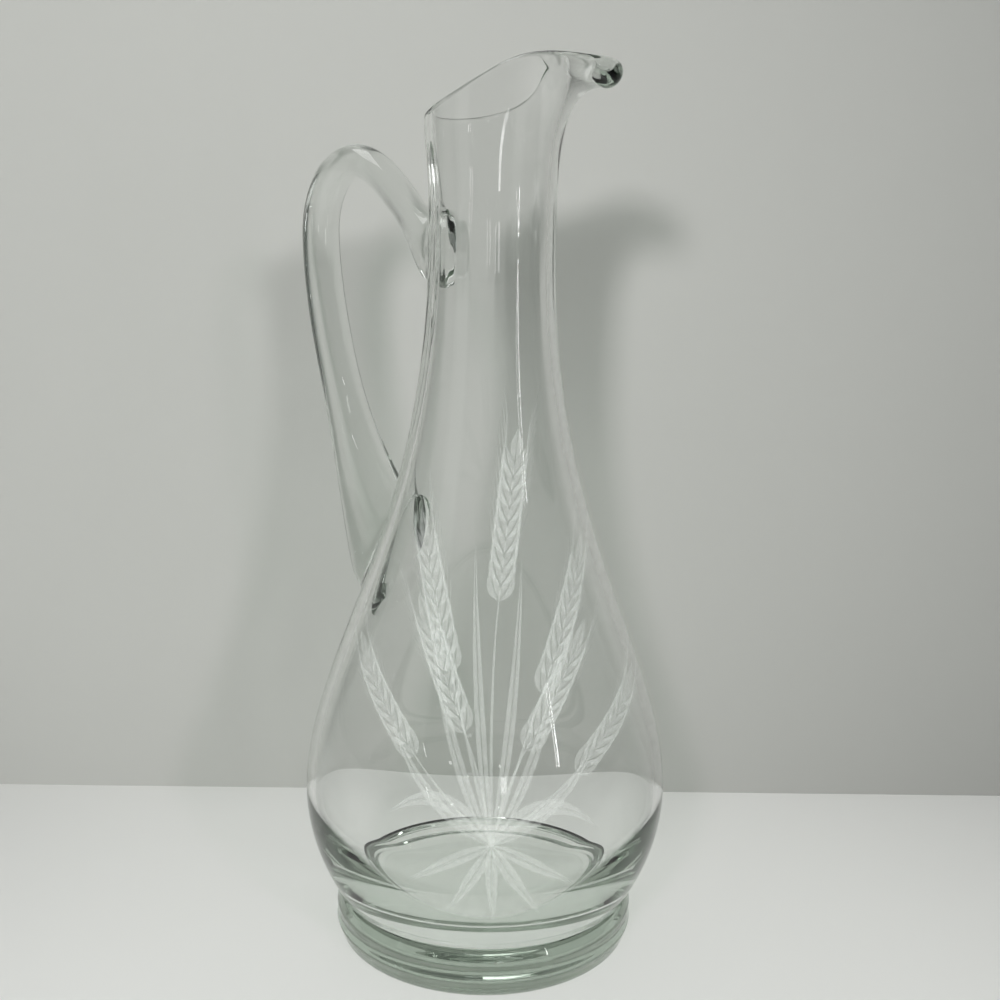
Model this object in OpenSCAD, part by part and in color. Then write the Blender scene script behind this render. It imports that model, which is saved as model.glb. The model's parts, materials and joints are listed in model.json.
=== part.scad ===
// Blown glass bar carafe: a pear-shaped bowl with a long neck, a slanted mouth with a pulled spout,
// a cast foot under the bowl and a drawn handle from the neck to the shoulder.
// Millimetres, +Z up. The origin is at the centre of the foot's underside.
// The spout points along +X and the handle along -X.

/* [Bowl] */
// Widest diameter of the bowl
bowl_d = 117; // [110:1:124]
// Height of the bowl's widest ring
bowl_z = 52; // [46:1:58]
// Width by which the bowl at the groove stands out over its seat in the foot
groove_step = 3.3; // [1:0.1:4.4]
// Lean of the bowl's wall at the groove, from upright
groove_lean = 35; // [28:1:42]
// Reach of the lower curve at the groove
groove_pull = 11; // [8:0.5:14]
// Reach of the lower curve below the widest ring
belly_pull = 13; // [9:0.5:17]
// Reach of the shoulder curve above the widest ring
shoulder_pull = 43; // [36:1:50]
// Wall thickness of the bowl and the neck
wall = 2.8; // [2.2:0.1:3.4]
// Thickness of the glass under the inside floor
floor_t = 3.4; // [2.6:0.1:5]
// Diameter of the flat part of the inside floor
floor_d = 68; // [60:1:74]
// Reach of the inside curve at the floor
floor_pull = 5; // [3:0.5:9]
// Reach of the inside curve below the widest ring
sham_pull = 14; // [10:0.5:22]

/* [Neck and mouth] */
// Narrowest outer diameter of the neck
neck_d = 39.2; // [36:0.2:43]
// Height of the mouth's centre above the table
mouth_z = 271; // [256:0.5:290]
// Reach of the neck's taper below its narrowest ring
taper_pull = 90; // [78:1:102]
// Straight length of the neck above its narrowest ring
neck_straight = 14; // [8:1:18]
// Outer diameter of the mouth
mouth_d = 42; // [40:0.5:47]
// Height of the mouth's centre above the straight neck
mouth_rise = 31; // [27:0.5:36]
// Slant of the mouth, low at the handle and high at the spout
mouth_slant = 25; // [18:0.5:28]
// Dip of the rim at its two sides, below its slanted plane
mouth_dip = 1.7; // [0.5:0.1:3]

/* [Spout] */
// Reach of the spout's tip from the axis
spout_reach = 42.8; // [38:0.2:48]
// Height of the middle of the spout's tip above the mouth's centre
spout_rise = 4.6; // [2:0.2:9]
// Thickness of the glass at the spout's tip
spout_t = 8.6; // [4.6:0.2:9.6]
// Thickness of the spout's wall where it bends over
spout_wall = 3.4; // [2.8:0.1:5]
// Distance from the neck's outside at which the spout's underside turns outward
spout_throat = 6; // [3:0.2:9]
// Angle from the spout's middle over which its pull fades
spout_spread = 27; // [21:1:31]

/* [Foot] */
// Width of the foot's ring round the seat, out to its widest
foot_lip = 4.6; // [3.2:0.1:8]
// Height of the foot's top face
foot_h = 16.7; // [14:0.1:19]
// Width of the round under the foot's widest ring, in to the flat that stands on the table
foot_under_w = 5.6; // [3:0.1:9.6]
// Height of the round under the foot's widest ring
foot_under = 7.4; // [4:0.2:9]
// Height of the round above the foot's widest ring
foot_over = 5.2; // [2:0.2:6]
// Width of the round above the foot's widest ring
foot_over_w = 2.4; // [1:0.2:2.6]
// Diameter of the seat in the foot that holds the bowl
seat_d = 88; // [80:0.5:90]
// Depth of that seat
seat_depth = 4.2; // [2:0.1:6]
// Clearance round the bowl's base in that seat
seat_gap = 0.1; // [0.05:0.05:0.3]
// Least height of the groove between the bowl and the foot
groove_gap = 0.4; // [0.2:0.1:1]

/* [Handle] */
// Thickness of the handle's rod at the neck end
rod_t = 9.4; // [8:0.2:11]
// Width of the handle's rod at the neck end
rod_w = 12.6; // [11:0.2:15]
// Thickness of the handle's rod above the lower pad
rod_low_t = 13.6; // [11:0.2:15]
// Width of the handle's rod above the lower pad
rod_low_w = 15; // [12:0.2:17]
// Furthest reach of the rod's centreline from the axis
handle_reach = 68.6; // [64:0.2:74]
// Drop from the crown of the centreline to that furthest point
crown_drop = 22.7; // [18:0.1:30]
// Rise of the crown above the seat on the neck
crown_rise = 27.2; // [22:0.1:33]
// Distance of the crown from the furthest point, towards the axis
crown_back = 15.6; // [12:0.2:20]
// How far the centreline meets the neck below its narrowest ring
upper_seat_drop = 1.5; // [0:0.1:6]
// Height where the centreline meets the shoulder, above the bowl's widest ring
lower_seat_rise = 73; // [66:0.5:80]
// Thickness of the pad on the neck
upper_pad_t = 21; // [17:0.5:24]
// Width of the pad on the neck
upper_pad_w = 15.6; // [14:0.2:19]
// Thickness of the pad on the shoulder
lower_pad_t = 34; // [28:0.5:40]
// Width of the pad on the shoulder
lower_pad_w = 26.4; // [20:0.2:30]
// Length over which the rod swells into the upper pad
upper_flare = 18; // [14:1:24]
// Length over which the rod swells into the lower pad
lower_flare = 66; // [54:1:76]
// Clearance between the handle's pads and the body
pad_gap = 0.08; // [0.05:0.01:0.2]

/* [Hidden] */
GLASS = [0.70, 0.77, 0.72, 0.55];
FOOT_GLASS = [0.55, 0.63, 0.57, 0.65];
HANDLE_GLASS = [0.66, 0.74, 0.69, 0.60];

bowl_r = bowl_d / 2;
neck_r = neck_d / 2;
mouth_r = mouth_d / 2;
seat_r = seat_d / 2;
base_r = seat_r - seat_gap;
groove_r = seat_r + groove_step;
foot_r = seat_r + foot_lip;
foot_flat_r = foot_r - foot_under_w;
seat_z = foot_h - seat_depth;
groove_z = foot_h + groove_gap;
floor_z = seat_z + floor_t;
mouth_base = mouth_z - mouth_rise;
neck_z = mouth_base - neck_straight;
spout_z = mouth_z + spout_rise;
upper_seat_z = neck_z - upper_seat_drop;
lower_seat_z = bowl_z + lower_seat_rise;
crown_z = upper_seat_z + crown_rise;

// How the curves are divided
LOWER_STEPS = 14;
SHOULDER_STEPS = 36;
FOOT_STEPS = 10;
MOUTH_SIDES = 72;
MOUTH_STEPS = 12;
RIM_STEPS = 6;
ROD_SIDES = 20;
ROUND = 128;
// Share by which the mouth's sides are drawn together at the spout
SPOUT_CROWDING = 0.5;
// How far the mouth's flat sides start outside the neck's round faces, so that they clear them,
// and the depth and inset of their root inside the neck's wall
LOFT_PROUD = 0.1;
LOFT_ROOT = 1.5;
LOFT_INSET = 0.8;
// Turn of the lip's cross direction where the spout bends over
LIP_TURN = 40;
// Reach of the spout's curve above the neck, and the drop of its underside from the bend to the tip
SPOUT_PULL = 20;
SPOUT_DROOP = 2.4;
// Directions of the centreline at the pads, from level, and the reach of its curves
UPPER_ANGLE = 30;
LOWER_ANGLE = 57;
UPPER_PULL = 10;
LOWER_PULL = 24;
CROWN_PULL_IN = 12;
CROWN_PULL_OUT = 9;
SIDE_PULL_UP = 12;
SIDE_PULL_DOWN = 32;
// How far the pads' roots run into the body before they are cut to its surface
UPPER_ROOT = 4;
LOWER_ROOT = 17;

// Point at t on a cubic curve with the control points p
function curve(p, t) =
    pow(1 - t, 3) * p[0] + 3 * pow(1 - t, 2) * t * p[1] + 3 * (1 - t) * t * t * p[2] + pow(t, 3) * p[3];
// Points along that curve, without its first point
function along(p, steps) = [for (i = [1 : steps]) curve(p, i / steps)];
function mix(a, b, k) = a * (1 - k) + b * k;
function level(angle) = [cos(angle), sin(angle)];

// Control points, as radius and height
lower_curve = [
    [groove_r, groove_z],
    [groove_r, groove_z] + groove_pull * [sin(groove_lean), cos(groove_lean)],
    [bowl_r, bowl_z - belly_pull],
    [bowl_r, bowl_z]
];
shoulder_curve = [
    [bowl_r, bowl_z],
    [bowl_r, bowl_z + shoulder_pull],
    [neck_r, neck_z - taper_pull],
    [neck_r, neck_z]
];
floor_curve = [
    [floor_d / 2, floor_z],
    [floor_d / 2 + floor_pull, floor_z],
    [bowl_r - wall, bowl_z - sham_pull],
    [bowl_r - wall, bowl_z]
];

// Inner wall beside the shoulder curve, kept a wall's thickness from it
function inside(p, t) =
    let (d = curve(p, min(t + 0.001, 1)) - curve(p, max(t - 0.001, 0)), n = d / norm(d))
    curve(p, t) + wall * [-n[1], n[0]];

outer_lower = concat([lower_curve[0]], along(lower_curve, LOWER_STEPS));
outer_shoulder = along(shoulder_curve, SHOULDER_STEPS);
inner_shoulder = [for (i = [SHOULDER_STEPS : -1 : 1]) inside(shoulder_curve, i / SHOULDER_STEPS)];
inner_lower = [for (i = [LOWER_STEPS : -1 : 0]) curve(floor_curve, i / LOWER_STEPS)];

// Place on the shoulder curve at height z, by halving the interval
HALVINGS = 24;
function shoulder_t(z, low = 0, high = 1, rounds = HALVINGS) =
    let (mid = (low + high) / 2)
    rounds == 0 ? mid :
    curve(shoulder_curve, mid)[1] < z ? shoulder_t(z, mid, high, rounds - 1) :
    shoulder_t(z, low, mid, rounds - 1);
function shoulder_r(z) = curve(shoulder_curve, shoulder_t(z))[0];

// Mouth and spout: each upright section is a curve from the neck to the rim,
// which turns from a plain one into the spout's as the pull grows
function side_angle(i) =
    let (s = i / MOUTH_SIDES)
    360 * s - SPOUT_CROWDING * sin(360 * s) * 180 / PI;
function pull(angle) =
    let (a = angle > 180 ? angle - 360 : angle)
    exp(-pow(a / spout_spread, 2));
function rim_z(angle) =
    mouth_z + mouth_r * tan(mouth_slant) * cos(angle) + mouth_dip * cos(2 * angle);

spout_end = [spout_reach - spout_t / 2, spout_z - spout_t / 2];
spout_bend = [neck_r + spout_throat, spout_end[1] + SPOUT_DROOP];
spout_outer = [
    [neck_r + LOFT_PROUD, mouth_base],
    [neck_r + LOFT_PROUD, mouth_base + SPOUT_PULL],
    spout_bend,
    spout_end
];
spout_inner = [
    [neck_r - wall - LOFT_PROUD, mouth_base],
    [neck_r - wall - LOFT_PROUD, mouth_base + SPOUT_PULL],
    spout_bend + spout_wall * [-sin(LIP_TURN), cos(LIP_TURN)],
    spout_end + [0, spout_t]
];
// Plain section at an angle, between a radius at the neck and one at the rim
function plain_section(angle, low_r, high_r) =
    let (top = rim_z(angle), third = (top - mouth_base) / 3)
    [[low_r, mouth_base], [low_r, mouth_base + third], [high_r, top - third], [high_r, top]];
function outer_section(angle) =
    mix(plain_section(angle, neck_r + LOFT_PROUD, mouth_r), spout_outer, pull(angle));
function inner_section(angle) =
    mix(plain_section(angle, neck_r - wall - LOFT_PROUD, mouth_r - wall), spout_inner, pull(angle));

// Round of the rim from its outer to its inner edge
function rim_point(angle, k) =
    let (
        outer = outer_section(angle),
        inner = inner_section(angle),
        half = (outer[3] - inner[3]) / 2,
        lean = (outer[3] - outer[2]) / norm(outer[3] - outer[2])
             + (inner[3] - inner[2]) / norm(inner[3] - inner[2]),
        turn = 180 * k / RIM_STEPS
    )
    inner[3] + half * (1 + cos(turn)) + norm(half) * sin(turn) * lean / norm(lean);

// One ring of the mouth: from the root in the neck's wall, up the outside, over the rim and down inside
RING_COUNT = 2 * MOUTH_STEPS + RIM_STEPS + 3;
function mouth_point(angle, ring) =
    ring == 0 ? [neck_r - LOFT_INSET, mouth_base - LOFT_ROOT] :
    ring == RING_COUNT - 1 ? [neck_r - wall + LOFT_INSET, mouth_base - LOFT_ROOT] :
    ring <= MOUTH_STEPS + 1 ?
        curve(outer_section(angle), (ring - 1) / MOUTH_STEPS) :
    ring <= MOUTH_STEPS + RIM_STEPS ?
        rim_point(angle, ring - MOUTH_STEPS - 1) :
    curve(inner_section(angle), (RING_COUNT - 2 - ring) / MOUTH_STEPS);
function turned(p, angle) = [p[0] * cos(angle), p[0] * sin(angle), p[1]];

// Handle: centreline as distance from the axis and height, from inside the neck to inside the shoulder
upper_seat = [neck_r, upper_seat_z];
lower_seat = [shoulder_r(lower_seat_z), lower_seat_z];
crown = [handle_reach - crown_back, crown_z];
side = [handle_reach, crown_z - crown_drop];
handle_rise = [
    upper_seat,
    upper_seat + UPPER_PULL * level(UPPER_ANGLE),
    crown - [CROWN_PULL_IN, 0],
    crown
];
handle_bend = [crown, crown + [CROWN_PULL_OUT, 0], side + [0, SIDE_PULL_UP], side];
handle_fall = [
    side,
    side - [0, SIDE_PULL_DOWN],
    lower_seat + LOWER_PULL * level(LOWER_ANGLE),
    lower_seat
];
RISE_STEPS = 12;
BEND_STEPS = 9;
FALL_STEPS = 22;
LOWER_ROOT_STEPS = 4;
centreline = concat(
    [upper_seat - UPPER_ROOT * level(UPPER_ANGLE), upper_seat],
    along(handle_rise, RISE_STEPS),
    along(handle_bend, BEND_STEPS),
    along(handle_fall, FALL_STEPS),
    [for (i = [1 : LOWER_ROOT_STEPS])
        lower_seat - LOWER_ROOT * i / LOWER_ROOT_STEPS * level(LOWER_ANGLE)]
);
last = len(centreline) - 1;
// Distance along the centreline from its first point to each point
function running(i) = i == 0 ? 0 : running(i - 1) + norm(centreline[i] - centreline[i - 1]);
distance = [for (i = [0 : last]) running(i)];
upper_mark = distance[1];
lower_mark = distance[last - LOWER_ROOT_STEPS];
function swell(s, length) = pow(max(0, 1 - max(0, s) / length), 2);
// Size across the rod at point i, from its ends' sizes and the two pads
function across(i, near, far, upper, lower) =
    let (rod = mix(near, far, min(1, max(0, (distance[i] - upper_mark) / (lower_mark - upper_mark)))))
    rod
    + (upper - rod) * swell(distance[i] - upper_mark, upper_flare)
    + (lower - rod) * swell(lower_mark - distance[i], lower_flare);
function heading(i) =
    let (d = centreline[min(i + 1, last)] - centreline[max(i - 1, 0)])
    d / norm(d);
function rod_point(i, k) =
    let (
        turn = 360 * k / ROD_SIDES,
        t = across(i, rod_t, rod_low_t, upper_pad_t, lower_pad_t) / 2 * cos(turn),
        w = across(i, rod_w, rod_low_w, upper_pad_w, lower_pad_w) / 2 * sin(turn),
        d = heading(i),
        p = centreline[i] + t * [-d[1], d[0]]
    )
    [-p[0], w, p[1]];

// Faces of a tube of rings with n points each, first ring joined to the last when closed
function tube_faces(rings, n, closed) = [
    for (r = [0 : rings - (closed ? 1 : 2)], k = [0 : n - 1], half = [0, 1])
        let (
            a = r * n + k,
            b = r * n + (k + 1) % n,
            c = ((r + 1) % rings) * n + (k + 1) % n,
            d = ((r + 1) % rings) * n + k
        )
        half == 0 ? [a, c, b] : [a, d, c]
];

// Cast foot with the seat that holds the bowl
module foot() {
    under = [for (i = [0 : FOOT_STEPS])
        let (a = -90 + 90 * i / FOOT_STEPS)
        [foot_flat_r + foot_under_w * cos(a), foot_under + foot_under * sin(a)]];
    over = [for (i = [0 : FOOT_STEPS])
        let (a = 90 * i / FOOT_STEPS)
        [foot_r - foot_over_w + foot_over_w * cos(a), foot_h - foot_over + foot_over * sin(a)]];
    rim = [[seat_r, foot_h], [seat_r, seat_z], [0, seat_z]];
    color(FOOT_GLASS)
        rotate_extrude($fn = ROUND)
            polygon(concat([[0, 0]], under, over, rim));
}

// Bowl, neck, slanted mouth and spout, blown and drawn as one piece
module body() {
    color(GLASS)
        union() {
            rotate_extrude($fn = ROUND)
                polygon(concat(
                    [[0, seat_z], [base_r, seat_z], [base_r, groove_z]],
                    outer_lower,
                    outer_shoulder,
                    [[neck_r, mouth_base], [neck_r - wall, mouth_base]],
                    inner_shoulder,
                    inner_lower,
                    [[0, floor_z]]
                ));
            mouth();
        }
}

// Mouth and spout as one closed loft round the neck's opening
module mouth() {
    points = [
        for (ring = [0 : RING_COUNT - 1], i = [0 : MOUTH_SIDES - 1])
            turned(mouth_point(side_angle(i), ring), side_angle(i))
    ];
    polyhedron(points, tube_faces(RING_COUNT, MOUTH_SIDES, true), convexity = 8);
}

// Solid outline of the body, which the handle's pads are cut to
module body_outline() {
    rotate_extrude($fn = ROUND)
        polygon(concat(
            [[0, groove_z]],
            [for (p = concat(outer_lower, outer_shoulder, [[neck_r, crown_z]])) p + [pad_gap, 0]],
            [[0, crown_z]]
        ));
}

// Drawn handle, swelling into a pad at each end
module handle() {
    points = [for (i = [0 : last], k = [0 : ROD_SIDES - 1]) rod_point(i, k)];
    caps = [
        [for (k = [0 : ROD_SIDES - 1]) k],
        [for (k = [ROD_SIDES - 1 : -1 : 0]) last * ROD_SIDES + k]
    ];
    color(HANDLE_GLASS)
        difference() {
            polyhedron(points, concat(tube_faces(last + 1, ROD_SIDES, false), caps), convexity = 6);
            body_outline();
        }
}

foot();
body();
handle();
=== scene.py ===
"""Looks of a blown glass carafe.

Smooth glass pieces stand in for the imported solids, with a frosted design, a stage, lamps and a camera.
Sizes are in millimetres and degrees, in the part's own frame: +Z up, spout along +X, handle along -X.
"""
import json
import math

import bpy
import bmesh
import numpy as np
from mathutils import Matrix, Vector

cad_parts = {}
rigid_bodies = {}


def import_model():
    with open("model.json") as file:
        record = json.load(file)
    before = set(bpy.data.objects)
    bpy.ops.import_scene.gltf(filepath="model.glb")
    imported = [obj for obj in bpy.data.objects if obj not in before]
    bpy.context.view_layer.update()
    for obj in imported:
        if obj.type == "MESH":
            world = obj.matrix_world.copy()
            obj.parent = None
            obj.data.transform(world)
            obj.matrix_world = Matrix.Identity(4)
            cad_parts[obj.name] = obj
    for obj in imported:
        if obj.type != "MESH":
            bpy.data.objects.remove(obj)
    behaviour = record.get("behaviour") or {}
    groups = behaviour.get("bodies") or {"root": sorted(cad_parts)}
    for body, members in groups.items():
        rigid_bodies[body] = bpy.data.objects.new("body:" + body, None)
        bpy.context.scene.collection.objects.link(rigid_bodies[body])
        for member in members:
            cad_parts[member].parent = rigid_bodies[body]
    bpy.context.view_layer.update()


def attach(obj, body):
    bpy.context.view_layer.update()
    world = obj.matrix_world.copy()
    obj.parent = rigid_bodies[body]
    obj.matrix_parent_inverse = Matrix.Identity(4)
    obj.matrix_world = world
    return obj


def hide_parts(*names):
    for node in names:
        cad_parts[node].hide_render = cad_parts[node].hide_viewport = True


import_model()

MM = 0.001

# Bowl and neck, as in the solids
BOWL_R, BOWL_Z = 58.5, 52.0
GROOVE_R, GROOVE_LEAN, GROOVE_PULL, BELLY_PULL = 47.3, 35.0, 11.0, 13.0
SHOULDER_PULL, TAPER_PULL = 43.0, 90.0
NECK_R, NECK_Z, NECK_STRAIGHT = 19.6, 226.0, 14.0
WALL, FLOOR_T, FLOOR_R, FLOOR_PULL, SHAM_PULL = 2.8, 3.4, 34.0, 5.0, 14.0

# Mouth and spout, as in the solids
MOUTH_R, MOUTH_Z, MOUTH_SLANT, MOUTH_DIP = 21.0, 271.0, 25.0, 1.7
SPOUT_REACH, SPOUT_Z, SPOUT_T, SPOUT_THROAT = 42.8, 275.6, 8.6, 25.6
SPOUT_SPREAD, SPOUT_PULL, SPOUT_DROOP, LIP_TURN = 27.0, 20.0, 2.4, 40.0
SPOUT_WALL = 3.4

# Foot, as in the solids, with the seat drawn out to the groove so that the two pieces read as fused
FOOT_R, FOOT_H, FOOT_FLAT_R, FOOT_UNDER = 48.6, 16.7, 43.0, 7.4
FOOT_OVER, FOOT_OVER_W = 5.2, 2.4
SEAT_Z, GROOVE_GAP, PLUG_R, PLUG_GAP = 12.5, 0.4, 45.6, 0.04
# Faint rings that shaping left in the foot's side: their depth, and the height of one wave
FOOT_WAVE, FOOT_WAVE_Z = 0.26, 5.6

# Handle, as in the solids
ROD_T, ROD_W, ROD_LOW_T, ROD_LOW_W = 9.4, 12.6, 13.6, 15.0
HANDLE_REACH, SIDE_Z, CROWN_R, CROWN_Z = 68.6, 229.0, 53.0, 251.7
UPPER_SEAT_Z, LOWER_SEAT_Z = 224.5, 125.0
UPPER_PAD_T, UPPER_PAD_W, LOWER_PAD_T, LOWER_PAD_W = 21.0, 15.6, 34.0, 26.4
UPPER_FLARE, LOWER_FLARE = 18.0, 66.0
UPPER_ANGLE, LOWER_ANGLE, UPPER_PULL, LOWER_PULL = 30.0, 57.0, 10.0, 24.0
CROWN_PULL_IN, CROWN_PULL_OUT, SIDE_PULL_UP, SIDE_PULL_DOWN = 12.0, 9.0, 12.0, 32.0
UPPER_ROOT, LOWER_ROOT = 4.0, 17.0
PAD_GAP = 0.05
# Where the hot pads flow out on the body: how far, and from what clearance on
UPPER_FLOW, LOWER_FLOW = (3.2, 3.2), (3.0, 4.0)

# Drawn ripples inside the neck, where the handle was pressed on: height, half length, depth,
# the share of it on the spout's side, and the lobes round the neck with the share and the turn of each
RIPPLE_Z, RIPPLE_HALF, RIPPLE_DEPTH, RIPPLE_FRONT = 224.0, 20.0, 0.17, 0.35
RIPPLES = [(13, 0.40, 0.6), (19, 0.35, 2.1), (29, 0.25, 4.0)]

# How finely the glass is divided: points round each piece, how much they crowd towards the spout,
# and the rings on each stretch
SIDES, FOOT_SIDES, ROD_SIDES = 320, 192, 72
SPOUT_CROWDING = 0.5
BASE_RINGS, PLUG_RINGS, GROOVE_RINGS, BELLY_RINGS, SHOULDER_RINGS = 10, 5, 4, 36, 130
STRAIGHT_RINGS, MOUTH_RINGS, RIM_RINGS, SHAM_RINGS, FLOOR_RINGS = 10, 40, 12, 40, 10
FOOT_FLAT_RINGS, FOOT_UNDER_RINGS, FOOT_SIDE_RINGS, FOOT_OVER_RINGS, FOOT_TOP_RINGS = 9, 36, 13, 24, 3
UPPER_ROOT_RINGS, RISE_RINGS, BEND_RINGS, FALL_RINGS, LOWER_ROOT_RINGS = 12, 90, 70, 200, 40
ROD_RINGS, PAD_RINGS = 400, 12
# Points on the profiles that heights are looked up in
BELLY_POINTS, SHOULDER_POINTS = 100, 400
# Radius of the smallest ring, which a fan closes, under the bowl and the foot and on the bowl's floor
MIDDLE_R, FLOOR_MIDDLE_R = 4.0, 3.0
# Angle between faces above which their edge is sharp
SHARP_ANGLE = 45.0

# Seats: the attribute is below zero where two pieces are fused and goes up to FAR away from there.
# Faces on a seat lie on its surfaces within TOUCH.
SEAT_ATTRIBUTE = "seat"
FAR, TOUCH = 9.0, 0.01

# Camera: the photograph's view, in a frame turned so that the lens looks along +Y
FRAME_PX, FOCAL_PX, SENSOR = 1000.0, 1424.0, 36.0
VIEW_TURN, VIEW_PITCH, VIEW_ROLL, VIEW_YAW = 33.94, 11.47, 0.86, 0.46
VIEW_DISTANCE, VIEW_HEIGHT = 443.2, 236.5

# Stage, seen from the camera's side: the floor just under the foot, the backdrop's place and ends, and
# the painted light on them: their colour is painted darker with the distance from a bright place
FLOOR_Z, WALL_BEHIND = -0.2, 115.0
STAGE_HALF, STAGE_FRONT, STAGE_BACK = 1500.0, 1500.0, 1500.0
BACKDROP_LEFT, BACKDROP_RIGHT, BACKDROP_H = -214.0, 1000.0, 430.0
PAINTED_FALLOFF_FROM, PAINTED_FALLOFF_TO, PAINTED_FALLOFF_LEFT = 100.0, 700.0, 0.37
FLOOR_PAINTED_LIGHT_CENTRE, BACKDROP_PAINTED_LIGHT_CENTRE = (0.0, -100.0, 0.0), (-140.0, WALL_BEHIND, 200.0)

# Light of the room at eye level and overhead
ROOM_LOW, ROOM_HIGH = (0.06, 0.067, 0.06, 1.0), (0.22, 0.23, 0.22, 1.0)

# Glass
GLASS_IOR = 1.5
GLASS_TINT, GLASS_DENSITY = (0.62, 0.70, 0.625, 1.0), 16.0
# What each face lets through of the light that makes shadows, by height: the thick foot gathers its
# light on the table again, and the neck and mouth throw most of theirs aside
SHADE_TOP = 300.0
BODY_SHADE = [
    (35.0, (0.985, 0.99, 0.985, 1.0)),
    (95.0, (0.90, 0.915, 0.905, 1.0)),
    (190.0, (0.80, 0.82, 0.805, 1.0)),
    (262.0, (0.52, 0.55, 0.53, 1.0)),
]
HANDLE_SHADE = [(120.0, (0.965, 0.975, 0.97, 1.0)), (250.0, (0.945, 0.955, 0.95, 1.0))]

# Frosted spray of barley on the front of the bowl. Its points are millimetres round the bowl from the
# spray's middle line, and height.
SPRAY_AZIMUTH = -54.0
SPRAY_LIFT, SPRAY_T, SPRAY_LAYER, SPRAY_LAYERS = 0.03, 0.04, 0.004, 12
TIE = (0.0, 56.0)
# Bend and top of each stem, the length of its ear and the pairs of grains on it
EARS = [
    ((-1, 100), (2, 124), 40, 9),
    ((-3, 76), (-8, 88), 30, 7),
    ((4, 74), (10, 83), 30, 7),
    ((-7, 84), (-12, 104), 36, 8),
    ((8, 82), (15, 98), 36, 8),
    ((-14, 70), (-23, 80), 30, 7),
    ((16, 68), (26, 75), 30, 7),
]
# Bend, tip and half width of each blade of grass
LEAVES = [
    ((-5, 92), (-5, 142), 1.5),
    ((7, 92), (9, 136), 1.5),
    ((-12, 78), (-19, 118), 1.6),
    ((13, 76), (22, 111), 1.6),
    ((-20, 66), (-32, 90), 1.7),
    ((21, 64), (34, 84), 1.7),
    ((-14, 78), (-32, 62), 2.4),
    ((15, 76), (34, 57), 2.4),
    ((-11, 52), (-26, 42), 2.0),
    ((11, 51), (27, 40), 2.0),
    ((-5, 46), (-13, 33), 2.0),
    ((6, 46), (15, 32), 2.0),
    ((0, 45), (1, 30), 1.8),
]
# Half widths, lengths and turns of stems, grains and awns
STEM_W, GRAIN_L, GRAIN_W, GRAIN_TURN = 0.55, 9.5, 1.9, 21.0
AWN_L, AWN_W, AWN_TURN = 17.0, 0.16, 9.0
TIP_W, VEIN_W = 0.05, 0.14
# How early a leaf or grain is widest, how much a stem narrows, and how far a grain's belly turns out
WIDEST_EARLY, STEM_TAPER, BELLY_TURN = 0.8, 0.6, 1.8
STEM_STEPS, LEAF_STEPS, GRAIN_STEPS, AWN_STEPS = 24, 22, 8, 6


def cubic(p, t):
    """Points at t on a cubic curve with four control points."""
    t = np.asarray(t, float)[..., None]
    p = [np.asarray(q, float) for q in p]
    start = (1 - t) ** 3 * p[0] + 3 * (1 - t) ** 2 * t * p[1]
    return start + 3 * (1 - t) * t ** 2 * p[2] + t ** 3 * p[3]


def steps(count, first=True):
    """Even values from 0 to 1, with or without the first."""
    values = np.linspace(0, 1, count + 1)
    return values if first else values[1:]


def arc(centre, radii, start, end, count):
    """Points on an ellipse's arc, without the first."""
    turn = np.radians(start + (end - start) * steps(count, first=False))
    return np.stack([centre[0] + radii[0] * np.cos(turn), centre[1] + radii[1] * np.sin(turn)], -1)


def direction(angle):
    """Radius and height of a step of one at that angle above the level."""
    return np.array([math.cos(math.radians(angle)), math.sin(math.radians(angle))])


# Profiles, as radius and height
groove_z = FOOT_H + GROOVE_GAP
floor_z = SEAT_Z + FLOOR_T
mouth_base = NECK_Z + NECK_STRAIGHT
groove_start = np.array([GROOVE_R, groove_z])
lower_curve = [
    groove_start,
    groove_start + GROOVE_PULL * direction(90 - GROOVE_LEAN),
    (BOWL_R, BOWL_Z - BELLY_PULL),
    (BOWL_R, BOWL_Z),
]
shoulder_curve = [
    (BOWL_R, BOWL_Z),
    (BOWL_R, BOWL_Z + SHOULDER_PULL),
    (NECK_R, NECK_Z - TAPER_PULL),
    (NECK_R, NECK_Z),
]
floor_curve = [
    (FLOOR_R, floor_z),
    (FLOOR_R + FLOOR_PULL, floor_z),
    (BOWL_R - WALL, BOWL_Z - SHAM_PULL),
    (BOWL_R - WALL, BOWL_Z),
]
shoulder_points = cubic(shoulder_curve, steps(SHOULDER_POINTS))
bowl_points = np.vstack([cubic(lower_curve, steps(BELLY_POINTS))[:-1], shoulder_points])


def outer_radius(z):
    """Radius of the bowl's and neck's outer face at a height on the shoulder or the straight neck."""
    return np.interp(z, shoulder_points[:, 1], shoulder_points[:, 0])


def bowl_radius(z):
    """Radius of the outer face at a height anywhere above the groove."""
    return np.interp(z, bowl_points[:, 1], bowl_points[:, 0])


def inside_of(points):
    """The same profile moved inwards by the wall's thickness."""
    along = np.gradient(points, axis=0)
    along /= np.linalg.norm(along, axis=1)[:, None]
    return points + WALL * np.stack([-along[:, 1], along[:, 0]], -1)


def make_mesh(name, points, faces):
    """A smooth mesh object from points in millimetres, with its normals outward."""
    mesh = bpy.data.meshes.new(name)
    mesh.from_pydata((np.asarray(points) * MM).tolist(), [], faces)
    built = bmesh.new()
    built.from_mesh(mesh)
    bmesh.ops.recalc_face_normals(built, faces=built.faces)
    built.to_mesh(mesh)
    built.free()
    for polygon in mesh.polygons:
        polygon.use_smooth = True
    mesh.set_sharp_from_angle(angle=math.radians(SHARP_ANGLE))
    made = bpy.data.objects.new(name, mesh)
    bpy.context.scene.collection.objects.link(made)
    return made


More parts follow.
